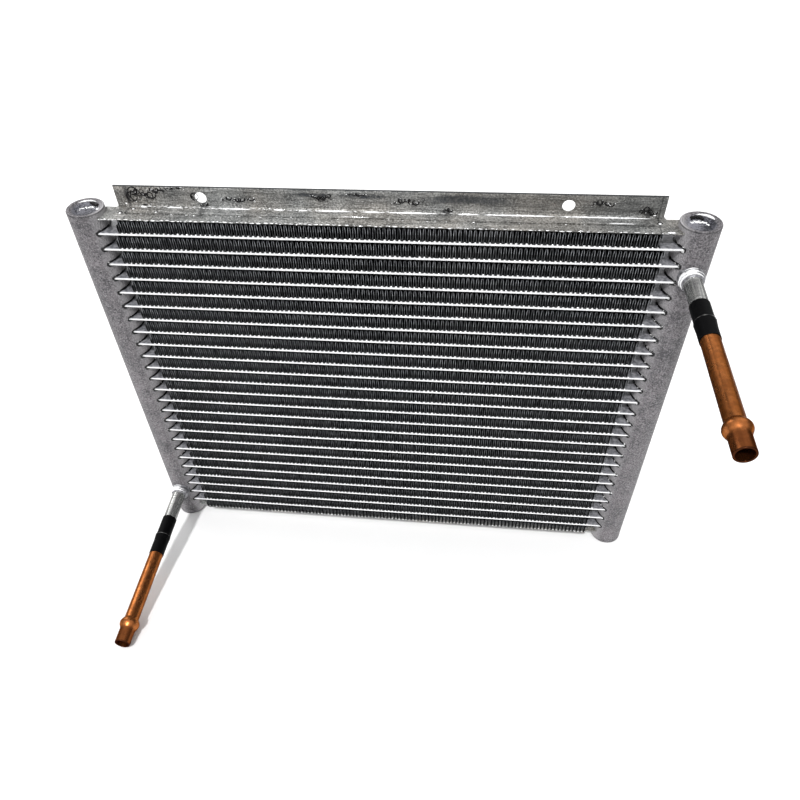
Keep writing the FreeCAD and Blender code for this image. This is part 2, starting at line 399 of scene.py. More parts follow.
# %% Finish of the flat tubes
def above_tube(tree):
    """How far a point lies above the middle of the nearest tube, in metres."""
    middle = (tube_low[2] + tube_high[2]) / 2
    above = minus(axis_value(tree, "Z"), middle - 100 * pitch)
    turn = maths("MODULO", plus(above, pitch / 2), pitch)
    return minus(turn, pitch / 2)


def from_core(tree):
    """How far a point lies before or behind the middle of the core, in metres."""
    return maths("ABSOLUTE", minus(axis_value(tree, "Y"), core_y))


def tube_recipe(tree):
    clouds = clouds_of(tree, (0.35, 0.65), 500, 3)
    nose = spread(from_core(tree), tube_width / 2 - 0.34 * MM, tube_width / 2 - 0.10 * MM)
    lit_upper_nose = spread(above_tube(tree), -0.6 * MM, -0.4 * MM)
    from_middle = maths("ABSOLUTE", axis_value(tree, "X"))
    past_fins = spread(from_middle, fin_length / 2, fin_length / 2 + 0.6 * MM)
    # Painted highlight on the upper front of each nose, painted shadow below it, painted shade between the
    # fins
    nose_highlight = blend(clouds, (226, 227, 229), (244, 244, 244))
    shade = layers(
        blend(clouds, (14, 15, 17), (28, 29, 31)),
        (past_fins, blend(clouds, (84, 85, 90), (142, 142, 146))),
        (nose, blend(lit_upper_nose, (10, 10, 12), nose_highlight)),
    )
    return {"Base Color": shade, "Normal": bumps(clouds, 0.2, 0.0001)}


tube_skin = new_finish("tube_skin", tube_recipe, metallic=0.1, roughness=0.35)
print("tube finish", len(tube_skin.node_tree.nodes), "nodes")

# %% [markdown]
# The fins are bare sheet as thin as foil. Deep between two fins almost no light comes back, and
# only their front and back edges shine. The finish helps that with painted shade and highlight: it
# is dark inside the core and pale on the last sixth of a millimetre at the front and the back. How
# pale changes from leg to leg, with a noise drawn out along the height. The crests, which stand on
# the tubes, are painted dark too, the legs just below each tube get a painted shadow, and the lower
# rows are a little darker than the upper ones.

# %% Finish of the fins
def fin_recipe(tree):
    height = above_tube(tree)
    crest = tube_height / 2 + 0.5 * MM
    edge = spread(from_core(tree), tube_width / 2 - 0.16 * MM, tube_width / 2 - 0.03 * MM)
    legs = band(maths("ABSOLUTE", height), crest, pitch, 0.2 * MM)
    # Painted shadow on the legs just below each tube
    shadow_below_tube = spread(height, -crest - 0.8 * MM, -crest, 1.0, 0.35)
    dull = clouds_of(tree, (0.35, 0.65), 90, 4)
    glints = clouds_of(tree, (0.3, 0.7), 900, 1, 0.5, (1, 1, 0.25))
    # The lower rows are a little darker
    lower_rows_darker = spread(axis_value(tree, "Z"), header_foot, header_top, 0.6, 0.0)
    rim = blend(lower_rows_darker, blend(glints, (56, 59, 62), (188, 191, 196)), (40, 42, 44))
    inside = blend(dull, (3, 3, 4), (10, 11, 12))
    return {"Base Color": blend(times(edge, times(legs, shadow_below_tube)), inside, rim)}


fin_skin = new_finish("fin_skin", fin_recipe, metallic=0.2, roughness=0.5)
print("fin finish", len(fin_skin.node_tree.nodes), "nodes")

# %% [markdown]
# The side plates and the bracket are sheet with flux stains: pale and brownish areas, cool dark
# smears along the flange and streaks that run along the part. Stretching a noise along X turns its
# clouds into streaks. The few large stains are ovals with ragged edges, each put where the real
# flange has one, by its X and Z and its reach along them.

# %% Finish of the plates
flange_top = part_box("mounting_bracket")[1][2]
smear_places = ((-8, 3.0, 11, 1.5), (45, 2.2, 22, 2.8), (-36, 3.2, 10, 1.3))
stain_places = ((-139.3, 1, 1.6, 8), (-97, -4.2, 2.6, 1.8), (138, -2.8, 3.2, 2.6), (35.5, -4.6, 3.0, 1.1))
crust_places = ((-132, 1.2, 6, 5.5), (-122, 3.6, 6, 2.6), (-31, 1.5, 6, 2.4), (-77, -0.6, 11, 1.4))
crust_places += ((115, 1.8, 7, 2.4),)


def plate_recipe(tree):
    along, up = axis_value(tree, "X"), axis_value(tree, "Z")
    clouds = clouds_of(tree, (0.36, 0.64), 110, 6, 0.65)
    grain = clouds_of(tree, (0.30, 0.70), 950, 2, 0.8)
    streaks = clouds_of(tree, (0.46, 0.62), 420, 5, 0.65, (0.12, 1, 1))
    warmth = clouds_of(tree, (0.42, 0.58), 18, 2)
    flecks = clouds_of(tree, (0.52, 0.57), 380, 5, 0.75)
    cold = blend(clouds, (112, 114, 114), (162, 163, 162))
    warm = blend(clouds, (118, 115, 111), (166, 162, 156))
    uneven = spread(noise(tree, 500, 4, 0.7), 0.35, 0.6, 1.0, 0.55)
    right_end = spread(along, 0, 130 * MM, 0.0, 0.5)
    on_flange = spread(up, -4.6 * MM, -3.6 * MM, 0.45, 1.0)
    bent = band(along, 143.4 * MM, 144.2 * MM, 0.2 * MM)
    shade = layers(
        blend(warmth, cold, warm),
        (spread(grain, 0.0, 0.5, 0.9, 0.0), (52, 52, 50)),
        (spread(grain, 0.55, 1.0, 0.0, 0.8), (212, 212, 208)),
        (times(streaks, 0.4), (60, 62, 62)),
        (times(patches(tree, *smear_places), uneven), (52, 56, 62)),
        (times(patches(tree, *stain_places), 0.8), (36, 36, 38)),
        (times(patches(tree, *crust_places), flecks), (24, 24, 26)),
        (times(right_end, on_flange), (64, 63, 60)),
        (times(bent, 0.6), (40, 40, 40)),
        (spread(up, flange_top - 0.45 * MM, flange_top - 0.2 * MM), (52, 53, 55)),
    )
    relief = bumps(plus(streaks, grain), 0.65, 0.0004)
    return {"Base Color": shade, "Roughness": spread(clouds, 0, 1, 0.34, 0.52), "Normal": relief}


plate_skin = new_finish("plate_skin", plate_recipe, metallic=0.35, roughness=0.42)
print("plate finish", len(plate_skin.node_tree.nodes), "nodes")

# %% [markdown]
# The stubs are bright drawn aluminium with faint rings, and the copper is warm and mottled with
# tarnish. The copper is darker before its bead, and its rim is painted dark as painted shade, the
# colour of the shaded bore.

# %% Finishes of the pipes
def stub_recipe(tree):
    lines = clouds_of(tree, (0.35, 0.65), 1100, 3, 0.6, (1, 0.04, 1))
    rings = clouds_of(tree, (0.45, 0.60), 700, 2, 0.5, (0.05, 1, 0.05))
    metal = blend(lines, (148, 149, 148), (208, 208, 205))
    shade = blend(times(rings, 0.3), metal, (128, 130, 132))
    return {"Base Color": shade, "Normal": bumps(plus(lines, rings), 0.25, 0.0002)}


def copper_recipe(tree):
    tarnish = clouds_of(tree, (0.36, 0.66), 150, 5, 0.65)
    lines = clouds_of(tree, (0.35, 0.65), 1100, 3, 0.6, (1, 0.05, 1))
    mottle = clouds_of(tree, (0.40, 0.64), 420, 4, 0.7)
    own_end = spread(axis_value(tree, "X"), -MM, MM, pipe_ends["outlet"], pipe_ends["inlet"])
    from_end = minus(axis_value(tree, "Y"), own_end)
    shade = layers(
        blend(tarnish, (200, 124, 70), (172, 102, 54)),
        (times(lines, 0.35), (116, 68, 36)),
        (times(mottle, 0.4), (96, 60, 38)),
        (spread(from_end, 9.0 * MM, 11.5 * MM, 0.7, 0.0), (84, 42, 20)),
        # Painted shade: the rim is darkened to the colour of the shaded bore
        (spread(from_end, 0.35 * MM, 0.7 * MM, 0.85, 0.0), (58, 32, 20)),
    )
    relief = bumps(plus(lines, mottle), 0.15, 0.0001)
    return {"Base Color": shade, "Roughness": spread(tarnish, 0, 1, 0.24, 0.38), "Normal": relief}


stub_skin = new_finish("stub_skin", stub_recipe, metallic=0.85, roughness=0.22, grazing=0.4)
copper_skin = new_finish("copper_skin", copper_recipe, metallic=0.95, roughness=0.3, grazing=0.35)
print("pipe finishes", stub_skin.name, copper_skin.name)

# %% [markdown]
# Melted metal, flux and heat shrink need no more than soft clouds from one shade to another: bright
# and smooth on the welds, patchy on the rings of brazing metal round the tubes, and black on burnt
# flux and on the sleeves. The rings are black, partly flux and partly painted shade in the joints,
# and their white specks are partly braze metal and partly painted glints, more of them on the right.

# %% Finishes of melted metal
weld_relief = (0.4, 0.0003)


def braze_shade_and_glint_recipe(tree):
    # Black for flux and painted shade in the joints, white specks for braze metal and painted glints
    more_glints_on_the_right = spread(axis_value(tree, "X"), -10 * MM, 10 * MM, 0.0, 0.035)
    clouds = spread(plus(noise(tree, 560, 3, 0.7), more_glints_on_the_right), 0.62, 0.67)
    shade = blend(clouds, (10, 10, 12), (240, 240, 240))
    return {"Base Color": shade, "Normal": bumps(clouds, *weld_relief)}


def cloudy(clouds, contrast, shades, relief=None):
    """A recipe of soft clouds from one shade to another, with bumps if it is given a relief."""
    def recipe(tree):
        amount = clouds_of(tree, contrast, *clouds)
        driven = {"Base Color": blend(amount, *shades)}
        if relief:
            driven["Normal"] = bumps(amount, *relief)
        return driven
    return recipe


weld_clouds = ((380, 3), (0.35, 0.65))
weld = cloudy(*weld_clouds, ((236, 237, 239), (255, 255, 255)), weld_relief)
bead = cloudy(*weld_clouds, ((216, 217, 219), (238, 238, 238)), weld_relief)
weld_body = cloudy((330, 3, 0.7), (0.38, 0.62), ((82, 82, 86), (150, 150, 154)), weld_relief)
flux = cloudy((600, 3), (0, 1), ((6, 6, 7), (26, 25, 26)), relief=(0.3, 0.0002))
heat_shrink = cloudy((700, 4), (0, 1), ((2, 2, 3), (9, 9, 10)), relief=(0.35, 0.0004))
# A painted highlight on the lip of each sleeve
lip_highlight = cloudy((800, 3), (0.4, 0.6), ((20, 20, 21), (120, 120, 118)))
braze_skin = new_finish("braze_skin", braze_shade_and_glint_recipe, metallic=0.2, roughness=0.28)
weld_skin = new_finish("weld_skin", weld, metallic=0.2, roughness=0.2)
bead_skin = new_finish("bead_skin", bead, metallic=0.2, roughness=0.2)
weld_body_skin = new_finish("weld_body_skin", weld_body, metallic=0.4, roughness=0.35)
flux_skin = new_finish("flux_skin", flux, metallic=0.0, roughness=0.4, specular=0.2)
sleeve_skin = new_finish("sleeve_skin", heat_shrink, metallic=0.0, roughness=0.5, specular=0.05)
sleeve_edge_skin = new_finish("sleeve_edge_skin", lip_highlight, metallic=0.0, roughness=0.4)
print("finishes", len(bpy.data.materials))

# %% [markdown]
# Pieces that repeat by a rule are grown with Geometry Nodes. A tree is a recipe: it has named
# inputs for its sizes and a seed, and it ends by turning its instances into real mesh and giving
# them their finish. The helpers below make a tree and add what several trees need.

# %% Helpers for Geometry Nodes
corner_points = 5


def new_tree(name, **sizes):
    """A geometry tree with a named input for each size."""
    tree = bpy.data.node_groups.new(name, "GeometryNodeTree")
    for label, value in sizes.items():
        kind = "NodeSocketInt" if isinstance(value, int) else "NodeSocketFloat"
        socket = tree.interface.new_socket(label, in_out="INPUT", socket_type=kind)
        socket.default_value = value
    tree.interface.new_socket("Geometry", in_out="OUTPUT", socket_type="NodeSocketGeometry")
    return tree, tree.nodes.new("NodeGroupInput").outputs


def vector_in(tree, x=0.0, y=0.0, z=0.0):
    return made(tree, "ShaderNodeCombineXYZ", {"X": x, "Y": y, "Z": z})


def own_place(tree):
    """The X, Y and Z of each point."""
    return step(tree, "ShaderNodeSeparateXYZ", {0: made(tree, "InputPosition", {})}).outputs


def wandering(tree, scale, detail, seed):
    """A noise for unevenness, different for each seed."""
    clouds = {"Scale": scale, "Detail": detail, "W": seed}
    return made(tree, "ShaderNodeTexNoise", clouds, noise_dimensions="4D")


def scattered(tree, least, most, seed):
    """A random vector for each point."""
    wires = {"Min": least, "Max": most, "Seed": seed}
    return made(tree, "FunctionNodeRandomValue", wires, data_type="FLOAT_VECTOR")


def rounded_box(tree, width, height, radius):
    """The outline of a bar with round edges."""
    box = made(tree, "CurvePrimitiveQuadrilateral", {"Width": width, "Height": height})
    wires = {"Curve": box, "Count": corner_points, "Limit Radius": True, "Radius": radius}
    return made(tree, "FilletCurve", wires, mode="POLY")


def in_rows(tree, given, shape, first=(0, 0, 0)):
    """Instances of a shape one below another, a pitch apart."""
    down = vector_in(tree, z=times(given["Pitch"], -1.0))
    rows = made(tree, "MeshLine", {"Count": given["Rows"], "Start Location": first, "Offset": down})
    return made(tree, "InstanceOnPoints", {"Points": rows, "Instance": shape})


def end_tree(tree, shape, finish):
    """Real mesh, with its finish, as the tree's result."""
    real = made(tree, "RealizeInstances", {"Geometry": shape})
    dressed = made(tree, "SetMaterial", {"Geometry": real, "Material": finish})
    tree.links.new(dressed, tree.nodes.new("NodeGroupOutput").inputs[0])
    return tree


# %% [markdown]
# A tree runs as a modifier on an empty object. The sizes of a piece go to the tree's named inputs,
# and what grows is kept as a plain mesh, because a finished piece must not depend on a live
# modifier. A sheet gets its thickness there too.

# %% Helpers that keep what grows
def grow(tree, name, wall=0.0, **sizes):
    """Runs a tree with these sizes and keeps the result as a plain mesh object."""
    seedbed = in_scene("seedbed", bpy.data.meshes.new("seedbed"))
    recipe = seedbed.modifiers.new("recipe", "NODES")
    recipe.node_group = tree
    for socket in tree.interface.items_tree:
        if socket.in_out == "INPUT" and socket.name in sizes:
            recipe[socket.identifier] = sizes[socket.name]
    if wall:
        sheet = seedbed.modifiers.new("sheet", "SOLIDIFY")
        sheet.thickness = wall
        sheet.offset = 0
    ready = seedbed.evaluated_get(bpy.context.evaluated_depsgraph_get())
    mesh = bpy.data.meshes.new_from_object(ready)
    bpy.data.objects.remove(seedbed)
    mesh.name = name
    return in_scene(name, mesh)


def joined(name, first, second):
    """Two pieces of the same finish as one."""
    work = bmesh.new()
    work.from_mesh(first.data)
    work.from_mesh(second.data)
    work.to_mesh(first.data)
    work.free()
    bpy.data.objects.remove(second)
    first.name = name
    return first


def fit_in(piece, slot, *replaced):
    """Parents a finished piece to the root body and hides the model's pieces that it replaces."""
    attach(piece, "root")
    if replaced:
        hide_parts(*replaced)


# %% [markdown]
# A fin strip is one long foil, folded up and down about a hundred times. The engineering model has
# only a few wide folds. Here a flat grid is folded by a formula: the height of each point is a
# wave of its place along the strip, and a second wave, twice as fast, pushes the points sideways.
# That makes the legs stand nearly upright under round crests. A slow noise shifts the folds a
# little, because real ones are never even. The topmost strip is as long as the model has it, and
# the others reach three millimetres further at each end.

# %% Grow the fin strips
fold_length = 2.667 * MM
points_per_fold = 12
fin_sheet = 0.18 * MM
longer_by = 6 * MM
folds = round(fin_length / fold_length)
long_folds = round((fin_length + longer_by) / fold_length)
leg_pinch = 1 / (4 * pi) * 0.95
most_drift = 1.5


def fin_tree():
    tree, given = new_tree(
        "folded_fins", Folds=folds, Length=fin_length, Height=fin_height, Depth=tube_width,
        Rows=2, Pitch=pitch, Y=0.0, Z=0.0, Seed=0,
    )
    columns = plus(times(given["Folds"], points_per_fold), 1.0)
    grid = made(tree, "MeshGrid", {
        "Size X": given["Length"], "Size Y": given["Depth"], "Vertices X": columns, "Vertices Y": 2,
    })
    wander = wandering(tree, scale=60.0, detail=1.0, seed=given["Seed"])
    drift = times(minus(wander, 0.5), most_drift)
    along = over(own_place(tree)["X"], given["Length"])
    angle = plus(times(times(along, given["Folds"]), 2 * pi), drift)
    reach = times(minus(given["Height"], fin_sheet), 0.5)
    rise = times(maths("SINE", angle), reach)
    fold = over(given["Length"], given["Folds"])
    pinch = times(maths("SINE", times(angle, 2.0)), -leg_pinch)
    moved = vector_in(tree, times(pinch, fold), 0.0, rise)
    folded = made(tree, "SetPosition", {"Geometry": grid, "Offset": moved})
    first = vector_in(tree, 0.0, given["Y"], given["Z"])
    return end_tree(tree, in_rows(tree, given, folded, first), fin_skin)


fins = fin_tree()
long_row = dict(Folds=long_folds, Length=fin_length + longer_by)
for number, name in enumerate(fin_names):
    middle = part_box(name)[1][2] - fin_height / 2
    where = dict(wall=fin_sheet, Y=core_y, Seed=number)
    if number == 0:
        top_row = grow(fins, name + "_foil", Z=middle, Rows=1, **where)
        next_row = grow(fins, name + "_next", Z=middle - pitch, Rows=1, **where, **long_row)
        piece = joined(name + "_foil", top_row, next_row)
    else:
        piece = grow(fins, name + "_foil", Z=middle, **where, **long_row)
    fit_in(piece, "fin_aluminium", name)
print("fin strips", 2 * len(fin_names), "with", long_folds, "folds each, every", fold_length / MM, "mm")

# %% [markdown]
# A flat tube is an extruded bar with round noses. A rectangle, whose corners are rounded by a hair
# less than half its height, is swept along a line.

# %% Grow the flat tubes
# The round of a tube's corners, as a share of its height
nose_share = 0.499


def tube_tree():
    tree, given = new_tree(
        "flat_tube", Length=tube_high[0] - tube_low[0], Width=tube_width, Height=tube_height, Y=0.0, Z=0.0,
    )
    outline = rounded_box(tree, given["Width"], given["Height"], times(given["Height"], nose_share))
    half = times(given["Length"], 0.5)
    line = made(tree, "CurvePrimitiveLine", {
        "Start": vector_in(tree, times(half, -1.0), given["Y"], given["Z"]),
        "End": vector_in(tree, half, given["Y"], given["Z"]),
    })
    bar = made(tree, "CurveToMesh", {"Curve": line, "Profile Curve": outline, "Fill Caps": True})
    return end_tree(tree, bar, tube_skin)


tubes = tube_tree()
for name in tube_names:
    low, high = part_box(name)
    piece = grow(tubes, name + "_drawn", Y=core_y, Z=(low[2] + high[2]) / 2)
    piece.data.shade_smooth()
    piece.data.set_sharp_from_angle(angle=radians(50))
    fit_in(piece, "tube_aluminium", name)
print("flat tubes", len(tube_names), "with", len(piece.data.polygons), "faces each")

# %% [markdown]
# In the oven, brazing metal runs down and gathers where the lower crest of each fold stands on a
# tube. These small beads make the upper edges of the bright noses look scalloped. One tree sets a
# bead at the lower crests of every row. It runs for the front of the core and for the back, and
# once more on each side for the topmost row, which is shorter. There are nearly three thousand
# beads on each side, so a bead has only forty faces.

# %% Grow the brazing beads of the fins
bead_length, bead_depth, bead_rise = 0.9 * MM, 0.5 * MM, 0.66 * MM
bead_behind_nose = 0.55 * MM
bead_below_top = 0.25 * MM
# How far along a fold its lower crest is, as a share of the fold
lower_crest = 0.75


def fin_bead_tree():
    tree, given = new_tree(
        "fin_beads", Folds=long_folds, Length=fin_length + longer_by, Rows=len(tube_names),
        Pitch=pitch, Y=0.0, Z=0.0, Seed=0,
    )
    fold = over(given["Length"], given["Folds"])
    start = minus(times(fold, lower_crest), times(given["Length"], 0.5))
    line = made(tree, "MeshLine", {
        "Count": given["Folds"], "Start Location": vector_in(tree, start, given["Y"], given["Z"]),
        "Offset": vector_in(tree, fold),
    })
    points = made(tree, "RealizeInstances", {"Geometry": in_rows(tree, given, line)})
    least_shift, most_shift = (-0.25 * MM, -0.05 * MM, -0.1 * MM), (0.25 * MM, 0.1 * MM, 0.1 * MM)
    shift = scattered(tree, least_shift, most_shift, given["Seed"])
    jogged = made(tree, "SetPosition", {"Geometry": points, "Offset": shift})
    drop = made(tree, "MeshUVSphere", {"Radius": 1.0, "Segments": 8, "Rings": 5})
    smooth = made(tree, "SetShadeSmooth", {"Geometry": drop})
    least_size = (0.6 * bead_length, 0.75 * bead_depth, 0.55 * bead_rise)
    size = scattered(tree, least_size, (bead_length, bead_depth, bead_rise), given["Seed"])
    drops = made(tree, "InstanceOnPoints", {"Points": jogged, "Instance": smooth, "Scale": size})
    return end_tree(tree, drops, bead_skin)


fin_beads = fin_bead_tree()
top_row = dict(Rows=1, Folds=folds, Length=fin_length)
for side, label in ((-1, "front"), (1, "back")):
    nose = core_y + side * (tube_width / 2 - bead_behind_nose)
    first = fin_high[2] - fin_height - bead_below_top
    top_line = grow(fin_beads, label + "_top_line", Y=nose, Z=first, Seed=side + 5, **top_row)
    piece = grow(fin_beads, label + "_fin_brazing", Y=nose, Z=first - pitch, Seed=side + 1)
    fit_in(joined(label + "_fin_brazing", piece, top_line), "tube_aluminium")
print("brazing beads", long_folds * len(tube_names) + folds, "on each side of the core")

# %% [markdown]
# Where a tube enters a header, brazing metal stands around it in a ring. The ring follows the
# tube's outline and at the same time the round wall of the header. The tree takes the outline,
# pushes each point sideways until it lies on the wall, repeats that down the header, and sweeps
# a small circle along it whose size wanders.

# %% Grow the brazing rings of the headers
ring_radius = 0.8 * MM
ring_points = 40
# The round of a ring's corners, as a share of the tube's height
ring_corner = 0.6


def ring_tree():
    tree, given = new_tree(
        "tube_rings", Width=tube_width, Height=tube_height, Wall=header_radius, Bead=ring_radius,
        Rows=len(tube_names), Pitch=pitch, Side=1.0, X=header_x, Y=core_y, Z=0.0, Seed=0,
    )
    width, height = (plus(given[label], given["Bead"]) for label in ("Width", "Height"))
    outline = rounded_box(tree, width, height, times(given["Height"], ring_corner))
    even = made(tree, "ResampleCurve", {"Curve": outline, "Count": ring_points})
    place = own_place(tree)
    across = place["X"]
    wall_square = times(given["Wall"], given["Wall"])
    reach = maths("SQRT", minus(wall_square, times(across, across)))
    x = times(given["Side"], minus(given["X"], reach))
    y = plus(given["Y"], across)
    z = plus(given["Z"], place["Y"])
    on_wall = made(tree, "SetPosition", {"Geometry": even, "Position": vector_in(tree, x, y, z)})
    real = made(tree, "RealizeInstances", {"Geometry": in_rows(tree, given, on_wall)})
    section = made(tree, "CurvePrimitiveCircle", {"Radius": given["Bead"], "Resolution": 6})
    wander = wandering(tree, scale=450.0, detail=2.0, seed=given["Seed"])
    swell = spread(wander, 0.35, 0.65, out_low=0.7, out_high=1.1)
    bead = made(tree, "CurveToMesh", {"Curve": real, "Profile Curve": section, "Scale": swell})
    return end_tree(tree, bead, braze_skin)


rings = ring_tree()
first_middle = (tube_low[2] + tube_high[2]) / 2
for side, label in both_sides:
    piece = grow(rings, label + "_tube_rings", Side=float(side), Z=first_middle, Seed=side + 1)
    piece.data.shade_smooth()
    fit_in(piece, "header_aluminium")
ring_faces = len(piece.data.polygons) // len(tube_names)
print("brazing rings", 2 * len(tube_names), "with", ring_faces, "faces each")

# %% [markdown]
# Headers, caps, stubs, sleeves and copper pipes are all round, so each is a profile turned about
# an axis. The helpers make a piece out of a worked mesh, loft faces over rows of points, and turn a
# profile, given as points of radius and distance along the axis.

# %% Helpers for turned pieces
def from_work(name, work, finish):
    """A worked mesh as a smooth piece of one finish."""
    mesh = bpy.data.meshes.new(name)
    work.to_mesh(mesh)
    work.free()
    mesh.shade_smooth()
    mesh.materials.append(finish)
    return in_scene(name, mesh)


def lofted(name, work, rows, finish, rings=True):
    """Faces from each row of points to the next and from the last to the first. Rings are closed rows."""
    for here, after in zip(rows, rows[1:] + rows[:1]):
        for number in range(len(here) if rings else len(here) - 1):
            beside = (number + 1) % len(here)
            work.faces.new((here[number], here[beside], after[beside], after[number]))
    bmesh.ops.remove_doubles(work, verts=work.verts, dist=1e-6)
    bmesh.ops.recalc_face_normals(work, faces=work.faces)
    return from_work(name, work, finish)


def turned(name, profile, centre, axis, finish, steps=96):
    """A closed profile of (radius, distance) points turned about an axis."""
    turn = Vector((0, 0, 1)).rotation_difference(Vector(axis)).to_matrix()
    work = bmesh.new()
    rows = []
    for radius, distance in profile:
        row = []
        for number in range(steps):
            angle = 2 * pi * number / steps
            local = Vector((radius * cos(angle), radius * sin(angle), distance))
            row.append(work.verts.new(Vector(centre) + turn @ local))
        rows.append(row)
    piece = lofted(name, work, rows, finish)
    piece.data.set_sharp_from_angle(angle=radians(40))
    return piece


def rounded(corner, radius, start, end, steps=5):
    """Points of a quarter round about a corner's centre, from one angle to another."""
    points = []
    for number in range(steps + 1):
        angle = radians(start + (end - start) * number / steps)
        points.append((corner[0] + radius * cos(angle), corner[1] + radius * sin(angle)))
    return points


# %% [markdown]
# Each header is a plain pipe with softly rounded rims. The slots of the engineering model are
# filled by the tubes, so the visible wall is smooth.

# %% Turn the headers
header_wall = 1.2 * MM
rim_round = 0.55 * MM
bore = header_radius - header_wall
length = header_top - header_foot
profile = [(bore, 0)]
profile += rounded((header_radius - rim_round, rim_round), rim_round, -90, 0)
profile += rounded((header_radius - rim_round, length - rim_round), rim_round, 0, 90)
profile += [(bore, length)]
for side, label in both_sides:
    foot_place = (side * header_x, core_y, header_foot)
    piece = turned(label + "_header_pipe", profile, foot_place, (0, 0, 1), header_skin)
    fit_in(piece, "header_aluminium", label + "_header")
print("header", round(2 * header_radius / MM, 1), "mm across")

# %% [markdown]
# A cap is a pressed dish with a sloping wall. Its edge and the header's rim read as one broad rim.

# %% Turn the end caps
cap_thickness = 3.6 * MM
dish_floor = 6.0 * MM
dish_depth = 2.4 * MM
lip_round = 0.4 * MM
floor_round = 1.0 * MM
cap_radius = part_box("left_end_caps")[1][0] + header_x
profile = [(0, -cap_thickness), (cap_radius, -cap_thickness), (cap_radius, 0)]
profile += rounded((dish_radius + lip_round, -lip_round), lip_round, 90, 135)
profile += rounded((dish_floor - 0.3 * MM, floor_round - dish_depth), floor_round, -45, -90)
profile += [(0.5 * dish_floor, -0.95 * dish_depth), (0, -0.9 * dish_depth)]
for side, label in both_sides:
    name = label + "_cap_dishes"
    top = turned(name, profile, (side * header_x, core_y, header_top), (0, 0, 1), header_skin)
    foot = turned("foot", profile, (side * header_x, core_y, header_foot), (0, 0, -1), header_skin)
    fit_in(joined(name, top, foot), "header_aluminium", label + "_end_caps")
print("cap", round(2 * cap_radius / MM, 1), "mm across")

# %% [markdown]
# Melted metal leaves three kinds of marks that no rule places: runs, drops and flux lines. A run
# is a curve with a bevel whose thickness changes along it, so its ends thin out to nothing. A drop
# is a flattened ball. The large marks stand where the real part has them, and chance sets the rest.

# %% Helpers for melted metal
def run_of_metal(name, paths, finish, sides=8):
    """Thick lines through points. Each path is a list of (place, radius)."""
    curve = bpy.data.curves.new(name, "CURVE")
    curve.dimensions = "3D"
    curve.bevel_depth = 1.0
    curve.bevel_resolution = sides // 4
    for path in paths:
        spline = curve.splines.new("POLY")
        spline.points.add(len(path) - 1)
        for point, (place, radius) in zip(spline.points, path):
            point.co = (*place, 1)
            point.radius = radius
    guide = in_scene(name, curve)
    mesh = bpy.data.meshes.new_from_object(guide.evaluated_get(bpy.context.evaluated_depsgraph_get()))
    bpy.data.objects.remove(guide)
    mesh.materials.clear()
    mesh.materials.append(finish)
    mesh.shade_smooth()
    return in_scene(name, mesh)


def drops_of_metal(name, drops, finish):
    """Flattened balls. Each drop is (place, half sizes)."""
    work = bmesh.new()
    for place, half_sizes in drops:
        move = Matrix.Translation(place) @ Matrix.Diagonal((*half_sizes, 1))
        bmesh.ops.create_icosphere(work, subdivisions=2, radius=1.0, matrix=move)
    return from_work(name, work, finish)


# %% [markdown]
# A run is thin at both ends, and chance makes its thickness waver. A speckled line is many short
# runs in a row.

# %% Helpers for the paths of runs
def taper(share):
    """Thin at both ends of a run, full in its middle."""
    return max(0.02, sin(pi * share) ** 0.6)


def between(ends, share):
    return ends[0] + (ends[1] - ends[0]) * share


def uneven_run(at, points, unevenness, chance):
    """A run's path. at gives the place and the thickness for a share of the way along it."""
    path = []
    for number in range(points):
        share = number / (points - 1)
        place, thickness = at(share)
        path.append((place, thickness * taper(share) * chance.uniform(*unevenness)))
    return path


def short_runs(first, last, y, z, thickness, gaps, chance):
    """A speckled line along X: short runs whose gaps grow towards the right."""
    points = 5
    paths = []
    x = first
    while x < last:
        rightness = (x - first) / (last - first)
        length = chance.uniform(0.8, 3.2)
        height = z + chance.uniform(-0.3, 0.3) * MM
        widest = chance.uniform(*thickness) * (1 - 0.4 * rightness) * MM
        path = []
        for number in range(points):
            share = number / (points - 1)
            level = height + chance.uniform(-0.1, 0.1) * MM
            path.append((Vector(((x + length * share) * MM, y, level)), widest * taper(share)))
        paths.append(path)
        x += length + chance.uniform(0.0, gaps[0] + gaps[1] * rightness)
    return paths


# %% [markdown]
# Each dish holds a ragged row of bright drops across its floor, a run of braze metal along the far
# part of its wall, laid only there as a painted highlight, and some black flux.

# %% Melt metal into the caps
chance = Random(4)
bright_drops, flux_drops, wall_highlight_runs = [], [], []
drops_in_cap, flux_in_cap = 46, 14
# The dish's floor is slightly domed, and this is its mean level, in mm
floor_level = -0.93 * dish_depth / MM
# Each cap: its side, the drops' first and last place, their bow, and the arcs of the flux and of the run
cap_marks = (
    (-1, (-4.8, 0.2), (7.2, 1.2), 3.2, (88, 40), (60, 140)),
    (1, (-4.2, 2.6), (4.2, 1.0), 1.8, (124, 70), (24, 100)),
)


def on_dish(side, x, y, lift=0.0):
    """A place on a dish's surface, or above it by a lift. All are in mm, from the dish's middle."""
    away = sqrt(x * x + y * y) * MM
    slope = min(1, max(0, (away - dish_floor) / (dish_radius - dish_floor)))
    centre = Vector((side * header_x, core_y, header_top))
    return centre + Vector((x, y, floor_level * (1 - slope) + lift)) * MM


def round_dish(side, angle, away, lift=0.0):
    """The same, by an angle and a distance from the middle."""
    return on_dish(side, away * cos(radians(angle)), away * sin(radians(angle)), lift)


